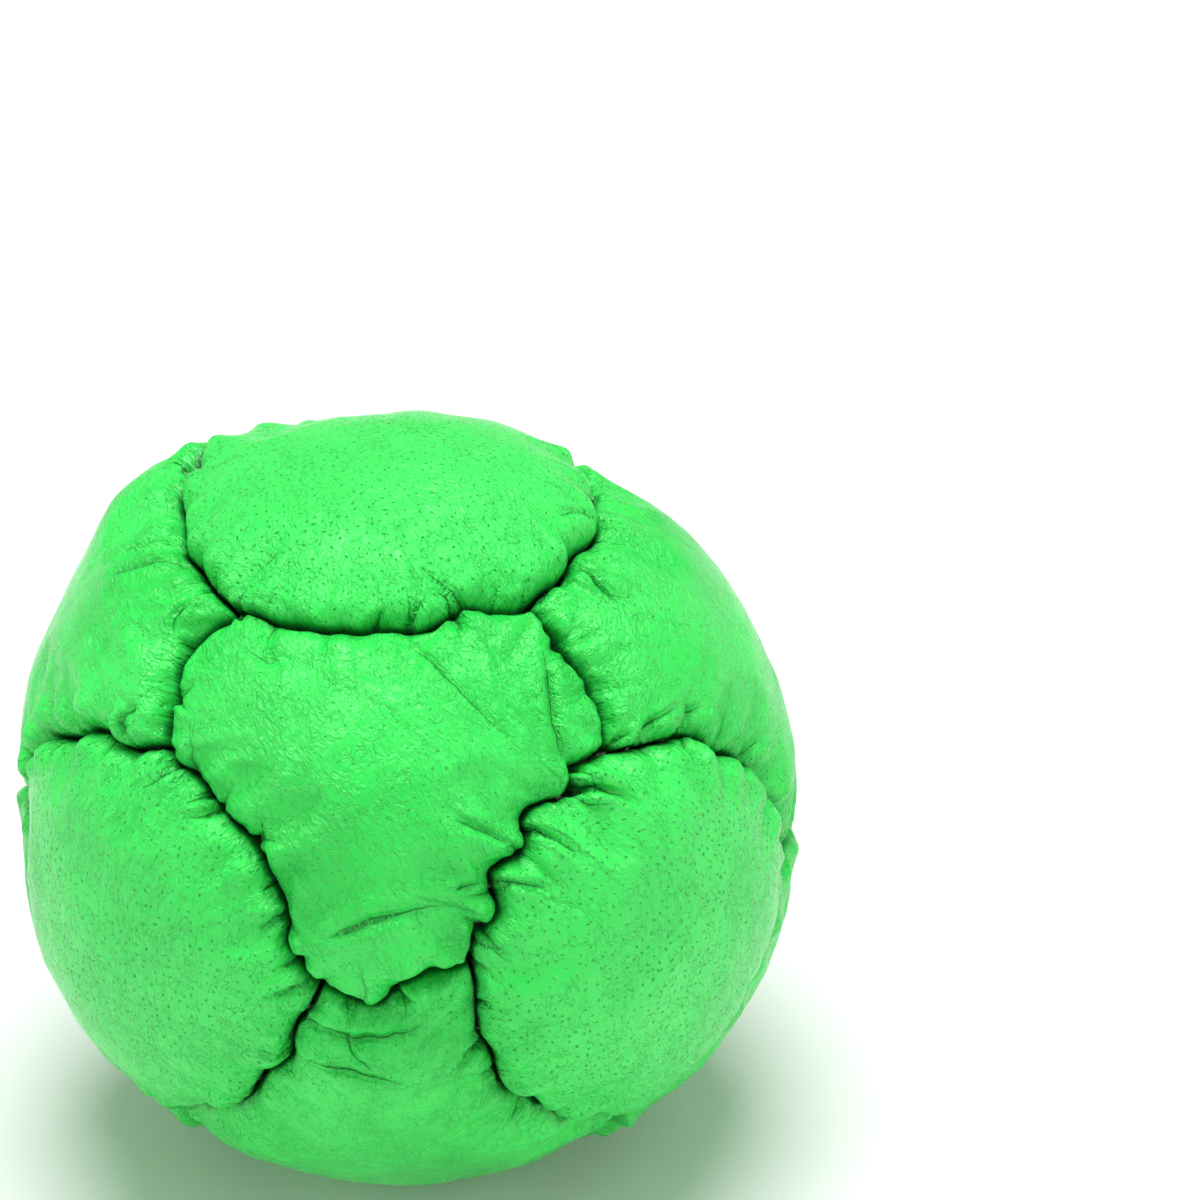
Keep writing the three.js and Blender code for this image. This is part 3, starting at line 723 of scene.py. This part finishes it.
def cut_out(index, name):
    """One panel of the sewn ball, with its edges turned in."""
    bm = ball.copy()
    others = [f for f in bm.faces if f.material_index != index]
    bmesh.ops.delete(bm, geom=others, context="FACES")
    middle = middle_of(name)
    rim = [e for e in bm.edges if e.is_boundary]
    reading = seam_reading(name, np.array([v.co.normalized() for v in bm.verts]))
    opened = reading["opening"] * np.exp(-reading["gap"] / opening_reach)
    for v, opening in zip(bm.verts, opened):
        outwards = v.co.normalized()
        v.co += (middle - outwards * middle.dot(outwards)).normalized() * opening
    for row in range(turned_rows):
        turned = bmesh.ops.extrude_edge_only(bm, edges=rim)["geom"]
        rim = [e for e in turned if isinstance(e, bmesh.types.BMEdge)]
        for v in [v for v in turned if isinstance(v, bmesh.types.BMVert)]:
            outwards = v.co.normalized()
            inwards = (middle - outwards * middle.dot(outwards)).normalized()
            v.co += (inwards * turned_lean - outwards * turned_depth) / turned_rows
    for face in bm.faces:
        face.material_index = 0
        face.smooth = True
    return bm


def rumpled(name, mesh):
    """Adds the sand's lumps, the pull of the stitches and the folds, and marks places for the finish."""
    spots = vectors_of(mesh.vertices, "co")
    normals = vectors_of(mesh.vertex_normals, "vector")
    directions = spots / lengths(spots)
    reading = seam_reading(name, directions)
    gap, run = reading["gap"], reading["run"]
    still = np.clip(gap / still_edge, 0, 1) ** 2
    lumps = np.array([noise.noise(Vector(spot) / lump_size) for spot in spots])
    ripples = np.array([noise.noise(Vector(spot) / ripple_size) for spot in spots])
    pulls = np.array([noise.noise(Vector((r / pull_width, g / pull_length, 7))) for r, g in zip(run, gap)])
    one_seam = np.clip((reading["next_gap"] - gap) / corner_calm, 0, 1)
    pulled = np.exp(-gap / pull_reach) * one_seam
    lift = (lump_height * lumps + ripple_height * ripples) * still
    lift += pull_height * pulls * pulled * np.clip(gap / pull_start, 0, 1)
    folds, crease_gap, creased = folded(name, directions)
    folds *= np.clip(gap / fold_start, 0, 1)
    spots += normals * (lift + folds)[:, None]
    spots += np.array(bag_middle)
    spots[:, 2] = np.maximum(spots[:, 2], 0)
    mesh.vertices.foreach_set("co", spots.ravel())

    marks = {
        "from_seam": gap / MM,
        "along_seam": run / MM,
        "pulled": pulled,
        "pored": np.full(len(gap), float(name in SQUARES)),
        "fold": folds / MM,
        "crease_gap": crease_gap / MM,
        "creased": creased,
    }
    for mark, values in marks.items():
        mesh.attributes.new(mark, "FLOAT", "POINT").data.foreach_set("value", values)

    middle = middle_of(name)
    turn = Matrix.Rotation(random.Random(name).uniform(0, math.tau), 3, middle)
    across = np.array((turn @ middle.orthogonal()).normalized())
    lengthways = np.cross(np.array(middle), across)
    angle = np.arccos(np.clip(directions @ np.array(middle), -1, 1))
    spread = angle * bag_radius / np.maximum(np.sin(angle), 1e-6)
    hide = np.stack([directions @ across * spread, directions @ lengthways * spread], axis=1)
    corner_points = np.zeros(len(mesh.loops), dtype=int)
    mesh.loops.foreach_get("vertex_index", corner_points)
    layer = mesh.uv_layers.new(name="hide")
    layer.data.foreach_set("uv", (0.5 + hide[corner_points] / hide_scale).ravel())
    mesh.update()


leather_pieces = []
for index, name in enumerate(PANELS):
    cut_name = f"{name}_square" if name in SQUARES else f"{name}_hex"
    cut_mesh = bpy.data.meshes.new(f"{cut_name}_cut")
    cut = cut_out(index, name)
    cut.to_mesh(cut_mesh)
    cut.free()
    piece = placed(f"{cut_name}_leather", cut_mesh)
    rounding = piece.modifiers.new("rounding", "SUBSURF")
    rounding.levels = rounding.render_levels = 1
    rounded = bpy.data.meshes.new_from_object(piece.evaluated_get(bpy.context.evaluated_depsgraph_get()))
    piece.modifiers.remove(rounding)
    piece.data = rounded
    bpy.data.meshes.remove(cut_mesh)
    rounded.name = piece.name
    rumpled(name, rounded)
    wall = piece.modifiers.new("thickness", "SOLIDIFY")
    wall.thickness = leather_thickness
    wall.offset = -1
    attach(piece, "root")
    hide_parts(f"{cut_name}_panel")
    leather_pieces.append(piece)


class Wire:
    """A socket of a finish. An expression on wires adds the Math nodes that work it out."""

    def __init__(self, finish, socket):
        self.finish, self.socket = finish, socket

    def worked(self, operation, *inputs):
        return self.finish.node("ShaderNodeMath", {"operation": operation}, dict(enumerate(inputs)))

    def __add__(self, other):
        return self.worked("ADD", self, other)

    __radd__ = __add__

    def __sub__(self, other):
        return self.worked("SUBTRACT", self, other)

    def __rsub__(self, other):
        return self.worked("SUBTRACT", other, self)

    def __mul__(self, other):
        return self.worked("MULTIPLY", self, other)

    __rmul__ = __mul__

    def __truediv__(self, other):
        return self.worked("DIVIDE", self, other)

    def absolute(self):
        return self.worked("ABSOLUTE", self)

    def clamped(self):
        return self.worked("MAXIMUM", self.worked("MINIMUM", self, 1), 0)

    def eased(self, low, high):
        """0 below low and 1 above high, smooth between them. High may be the lower number."""
        settings = {"interpolation_type": "SMOOTHSTEP"}
        values = {"Value": self, "From Min": low, "From Max": high}
        return self.finish.node("ShaderNodeMapRange", settings, values)


class Finish:
    """A procedural material and the nodes that make it."""

    def __init__(self, name):
        self.material = bpy.data.materials.new(name)
        self.material.use_nodes = True
        self.tree = self.material.node_tree
        self.shader = self.tree.nodes["Principled BSDF"]

    def node(self, kind, settings=None, values=None, output=0):
        made = self.tree.nodes.new(kind)
        for setting, value in (settings or {}).items():
            setattr(made, setting, value)
        for socket, value in (values or {}).items():
            self.feed(made.inputs[socket], value)
        return Wire(self, made.outputs[output])

    def feed(self, socket, value):
        if isinstance(value, Wire):
            self.tree.links.new(value.socket, socket)
        else:
            socket.default_value = value

    def other(self, wire, output):
        return Wire(self, wire.socket.node.outputs[output])

    def mixed(self, factor, first, second):
        settings = {"data_type": "RGBA"}
        return self.node("ShaderNodeMix", settings, {0: factor, 6: first, 7: second}, output=2)

    def vector(self, operation, **values):
        sockets = {"first": 0, "second": 1, "scale": 3}
        settings = {"operation": operation}
        return self.node("ShaderNodeVectorMath", settings, {sockets[k]: v for k, v in values.items()})

    def place(self):
        """Where each point of the piece is, in millimetres."""
        return self.vector("SCALE", first=self.node("ShaderNodeTexCoord", output="Object"), scale=1 / MM)

    def mark(self, name):
        """A number that the mesh carries at each point."""
        return self.node("ShaderNodeAttribute", {"attribute_name": name}, output="Fac")

    def noise(self, place, size, detail=2, roughness=0.5, flat=False):
        settings = {"noise_dimensions": "2D" if flat else "3D"}
        values = {"Vector": place, "Scale": 1 / size, "Detail": detail, "Roughness": roughness}
        return self.node("ShaderNodeTexNoise", settings, values)

    def cells(self, place, size, feature="F1", randomness=1, flat=False):
        settings = {"voronoi_dimensions": "2D" if flat else "3D", "feature": feature}
        values = {"Vector": place, "Scale": 1 / size, "Randomness": randomness}
        return self.node("ShaderNodeTexVoronoi", settings, values)

    def look(self, name, value):
        self.feed(self.shader.inputs[name], value)

    def relief(self, height, depth, strength=1):
        values = {"Strength": strength, "Distance": depth, "Height": height}
        self.look("Normal", self.node("ShaderNodeBump", {}, values))


leather = Finish("green_pigskin")
place = leather.place()
hide = leather.node("ShaderNodeUVMap", {"uv_map": "hide"})
hide = leather.vector("SCALE", first=hide, scale=hide_scale / MM)
from_seam = leather.mark("from_seam")
along_seam = leather.mark("along_seam")
pulled = leather.mark("pulled")
fold = leather.mark("fold")

# Pores: one to a cell, each a small dark pit, larger on the four-sided panels and gone from some spots
pore_spacing = 0.74
pore_edge = 0.05
pit_edge = 0.12
wavering = leather.noise(hide, size=2.2, flat=True)
wavered = leather.vector("ADD", first=hide, second=leather.other(wavering, "Color"))
pore_cells = leather.node("ShaderNodeMapping", {}, {"Vector": wavered, "Scale": (1, 0.82, 1)})
pore = leather.cells(pore_cells, pore_spacing, randomness=0.7, flat=True)
pore_gap = pore * pore_spacing
pore_kind = leather.node("ShaderNodeSeparateColor", {}, {"Color": leather.other(pore, "Color")})
pore_place = leather.noise(place, size=6, detail=1)
pored = leather.mark("pored")
pore_size = 0.012 + 0.032 * pored + 0.03 * pore_kind + 0.08 * (pore_place - 0.5)
pore_dark = ((pore_size - pore_gap) / pore_edge + 0.5).clamped()
pore_pit = ((pore_size + pore_edge - pore_gap) / pit_edge).clamped()

# Grain: fine pebbles parted by short cracks, and hair-fine wrinkles that run one way across the hide
pebbles = leather.cells(wavered, size=0.36, feature="SMOOTH_F1", flat=True)
crack_place = leather.node("ShaderNodeMapping", {}, {
    "Vector": wavered, "Rotation": (0, 0, 0.5), "Scale": (1.25, 0.8, 1)})
crack_waver = leather.noise(hide, size=0.7, flat=True)
cracked = leather.vector("ADD", first=crack_place, second=leather.other(crack_waver, "Color"))
crack_gap = leather.cells(cracked, size=0.62, feature="DISTANCE_TO_EDGE", flat=True)
cracks = crack_gap.eased(0.13, 0.0) * leather.noise(hide, size=1.6, detail=1, flat=True).eased(0.42, 0.6)
wrinkle_place = leather.node("ShaderNodeMapping", {}, {"Vector": wavered, "Scale": (2.4, 0.95, 1)})
wrinkles = leather.noise(wrinkle_place, size=1, detail=4, roughness=0.6, flat=True)
wrinkled = leather.noise(place, size=7, detail=1).eased(0.38, 0.62)

# Pulls: fine creases that run from the stitches into the panel and die out
pull_place = leather.node("ShaderNodeCombineXYZ", {}, {"X": along_seam * 2.4, "Y": from_seam * 0.4})
pulls = leather.noise(pull_place, size=1, detail=2, flat=True)

# Creases: a crisp line at the bottom of each fold, with fine ribs along both its sides. The line is a dip in
# the relief, and the finish also colours it dark as painted shade
crease_gap = leather.mark("crease_gap")
creased = leather.mark("creased")
swayed_gap = crease_gap + (leather.noise(place, size=1.1, detail=3) - 0.5) * 0.34
crease = swayed_gap.absolute().eased(0.1, 0.0) * creased.eased(0.12, 0.5)
rib_place = leather.node("ShaderNodeCombineXYZ", {}, {
    "X": swayed_gap * 3, "Y": leather.noise(place, size=3, detail=1) * 3})
ribs = leather.noise(rib_place, size=1, detail=2, flat=True)

# The relief of all of them, in millimetres
height = (pebbles * 0.055 + (wrinkles - 0.5) * (0.13 + 0.2 * wrinkled) - cracks * 0.045
          + (pulls - 0.5) * pulled * 0.34 + (ribs - 0.5) * creased * 0.5 - crease * 0.09 - pore_pit * 0.12)
leather.relief(height, MM)

fresh_green = (0.042, 0.86, 0.114, 1)
deep_green = (0.025, 0.71, 0.08, 1)
# The pores' own dark green, also used below for painted shade in sunk folds, creases and near the seams
pore_and_shade_green = (0.006, 0.26, 0.03, 1)
stain_yellow = (0.4, 0.42, 0.02, 1)
# Near-black green used as painted shade deep in the groove between panels
groove_shade_green = (0.002, 0.08, 0.016, 1)
tone = leather.noise(place, size=9, detail=4)
colour = leather.mixed(tone.eased(0.3, 0.7) * (1 - 0.85 * pored), fresh_green, deep_green)
stain = leather.noise(place, size=5, detail=0).eased(0.84, 0.86)
stain *= leather.noise(hide, size=0.5, flat=True).eased(0.52, 0.6)
colour = leather.mixed(stain * 0.5, colour, stain_yellow)
colour = leather.mixed(cracks * 0.06, colour, pore_and_shade_green)
colour = leather.mixed(pore_dark * 0.6, colour, pore_and_shade_green)
# Painted shade: the colour darkens where a fold sinks and along the crease at its bottom
colour = leather.mixed(fold.eased(-0.05, -0.4) * 0.35, colour, pore_and_shade_green)
colour = leather.mixed(crease * 0.75, colour, pore_and_shade_green)
# Painted shade: the colour darkens within a millimetre of a seam, and goes almost black deep in the groove
# between panels
colour = leather.mixed(from_seam.eased(1.0, 0.1) * 0.4, colour, pore_and_shade_green)
colour = leather.mixed(from_seam.eased(0.35, 0.1) * 0.85, colour, groove_shade_green)
leather.look("Base Color", colour)
leather.look("Roughness", 0.15 + 0.14 * tone + 0.3 * pore_dark)
leather.look("Specular IOR Level", 0.56)
leather.look("IOR", 1.45)
for piece in leather_pieces:
    piece.data.materials.append(leather.material)

# Sewing thread: pale waxed nylon of two twisted strands. A ring runs round each four-sided panel and
# a short length closes each seam between two six-sided ones, in and out through both turned edges.
thread_depth = 1.7 * MM
strand_radius = 0.12 * MM
strand_offset = 0.1 * MM
strand_turn = 1.3 * MM
thread_step = 0.2 * MM
side_reach = 1.15 * MM
softenings = 2


def stitched_way(seam, side):
    """Points through one seam's stitches, and the side that the thread ends on."""
    points = []
    for t in seam.stitches[1:-1]:
        place = round(t * (seam_samples - 1))
        outwards, across = Vector(seam.line[place]), Vector(seam.inward[place])
        for way in (side, -side):
            points.append(outwards * (seam_radius - thread_depth) + across * way * side_reach)
        side = -side
    return points, side


def twisted(name, points, closed):
    """Two strands wound round each other along a way through the given points."""
    loop = points + points[:1] if closed else points
    line = []
    for a, b in zip(loop, loop[1:]):
        steps = max(2, round((b - a).length / thread_step))
        line += [a.lerp(b, step / steps) for step in range(steps)]
    if not closed:
        line.append(loop[-1])
    line = settled(np.array(line))
    for softening in range(softenings):
        if closed:
            line = (np.roll(line, 1, 0) + 2 * line + np.roll(line, -1, 0)) / 4
        else:
            line[1:-1] = (line[:-2] + 2 * line[1:-1] + line[2:]) / 4
    thread = bpy.data.curves.new(name, "CURVE")
    thread.dimensions = "3D"
    thread.bevel_depth = strand_radius
    thread.bevel_resolution = 1
    thread.use_fill_caps = True
    turns = max(1, round(len(line) * thread_step / strand_turn))
    for strand in (0, math.pi):
        spline = thread.splines.new("POLY")
        spline.points.add(len(line) - 1)
        spline.use_cyclic_u = closed
        for k, point in enumerate(line):
            ahead = Vector(line[(k + 1) % len(line)] if closed else line[min(k + 1, len(line) - 1)])
            behind = Vector(line[k - 1] if closed else line[max(k - 1, 0)])
            tangent = (ahead - behind).normalized()
            outwards = Vector(point).normalized()
            side = tangent.cross(outwards).normalized()
            lifted = side.cross(tangent)
            turn = strand + math.tau * turns * k / len(line)
            spot = Vector(point) + (side * math.cos(turn) + lifted * math.sin(turn)) * strand_offset
            spline.points[k].co = (*(spot + bag_middle), 1)
    made = placed(name, thread)
    mesh = bpy.data.meshes.new_from_object(made.evaluated_get(bpy.context.evaluated_depsgraph_get()))
    bpy.data.objects.remove(made)
    bpy.data.curves.remove(thread)
    mesh.name = name
    for face in mesh.polygons:
        face.use_smooth = True
    return placed(name, mesh)


thread_pieces = {}
for square in SQUARES:
    points = []
    side = 1
    for seam in panel_seams(square):
        more, side = stitched_way(seam, side)
        points += more
    thread_pieces[f"{square}_ring_thread"] = twisted(f"{square}_ring_stitching", points, closed=True)
for seam in seams.values():
    if seam.home not in SQUARES:
        points, side = stitched_way(seam, 1)
        name = f"{seam.home}_to_{seam.away}"
        thread_pieces[f"{name}_thread"] = twisted(f"{name}_stitching", points, closed=False)

nylon = Finish("waxed_nylon")
thread_grey = (0.62, 0.66, 0.55, 1)
thread_white = (0.84, 0.86, 0.8, 1)
place = nylon.place()
fibres = nylon.noise(place, size=0.12, detail=3)
colour = nylon.mixed(fibres.eased(0.35, 0.65), thread_grey, thread_white)
nylon.look("Base Color", colour)
nylon.look("Roughness", 0.4 + 0.2 * fibres)
nylon.relief(fibres, 0.03 * MM, strength=0.6)
for node, piece in thread_pieces.items():
    piece.data.materials.append(nylon.material)
    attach(piece, "root")
    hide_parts(node)

# Sand: dry and fine, poured in through the last open seam. It fills the bag and hides inside it, and
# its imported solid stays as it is.
sand = Finish("dry_sand")
grain_size = 0.45
grain_brown = (0.42, 0.3, 0.15, 1)
grain_pale = (0.7, 0.58, 0.38, 1)
place = sand.place()
grain = sand.cells(place, grain_size)
shade = sand.node("ShaderNodeSeparateColor", {}, {"Color": sand.other(grain, "Color")})
colour = sand.mixed(shade, grain_brown, grain_pale)
sand.look("Base Color", colour)
sand.look("Roughness", 0.75 + 0.2 * shade)
sand.relief(1 - grain, 0.2 * MM, strength=0.8)
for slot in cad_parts["sand_filling"].material_slots:
    slot.material = sand.material

# Studio: the bag rests on a plain pale floor under a soft white sky and large soft lamps, one above
# it and one on each side.
floor_size = 3
sky_strength = 0.33
floor_mesh = bpy.data.meshes.new("floor")
sheet = bmesh.new()
bmesh.ops.create_grid(sheet, x_segments=1, y_segments=1, size=floor_size)
sheet.to_mesh(floor_mesh)
sheet.free()
placed("floor", floor_mesh)
white = Finish("pale_floor")
white.look("Base Color", (0.9, 0.9, 0.9, 1))
white.look("Roughness", 0.9)
floor_mesh.materials.append(white.material)

world = bpy.data.worlds.new("studio")
world.use_nodes = True
world.node_tree.nodes["Background"].inputs["Color"].default_value = (1, 1, 1, 1)
world.node_tree.nodes["Background"].inputs["Strength"].default_value = sky_strength
bpy.context.scene.world = world
bpy.context.scene.view_settings.view_transform = "Standard"


def softbox(name, spot, size, watts):
    """A round lamp that faces the bag."""
    light = bpy.data.lights.new(name, "AREA")
    light.shape = "DISK"
    light.size = size
    light.energy = watts
    lamp = placed(name, light)
    lamp.location = spot
    lamp.rotation_mode = "QUATERNION"
    lamp.rotation_quaternion = (bag_middle - Vector(spot)).to_track_quat("-Z", "Y")


softbox("overhead", (0, 0.03, 0.7), 0.45, 4.7)
softbox("left", (-0.55, -0.25, 0.3), 0.35, 0.8)
softbox("right", (0.55, -0.25, 0.3), 0.35, 0.9)
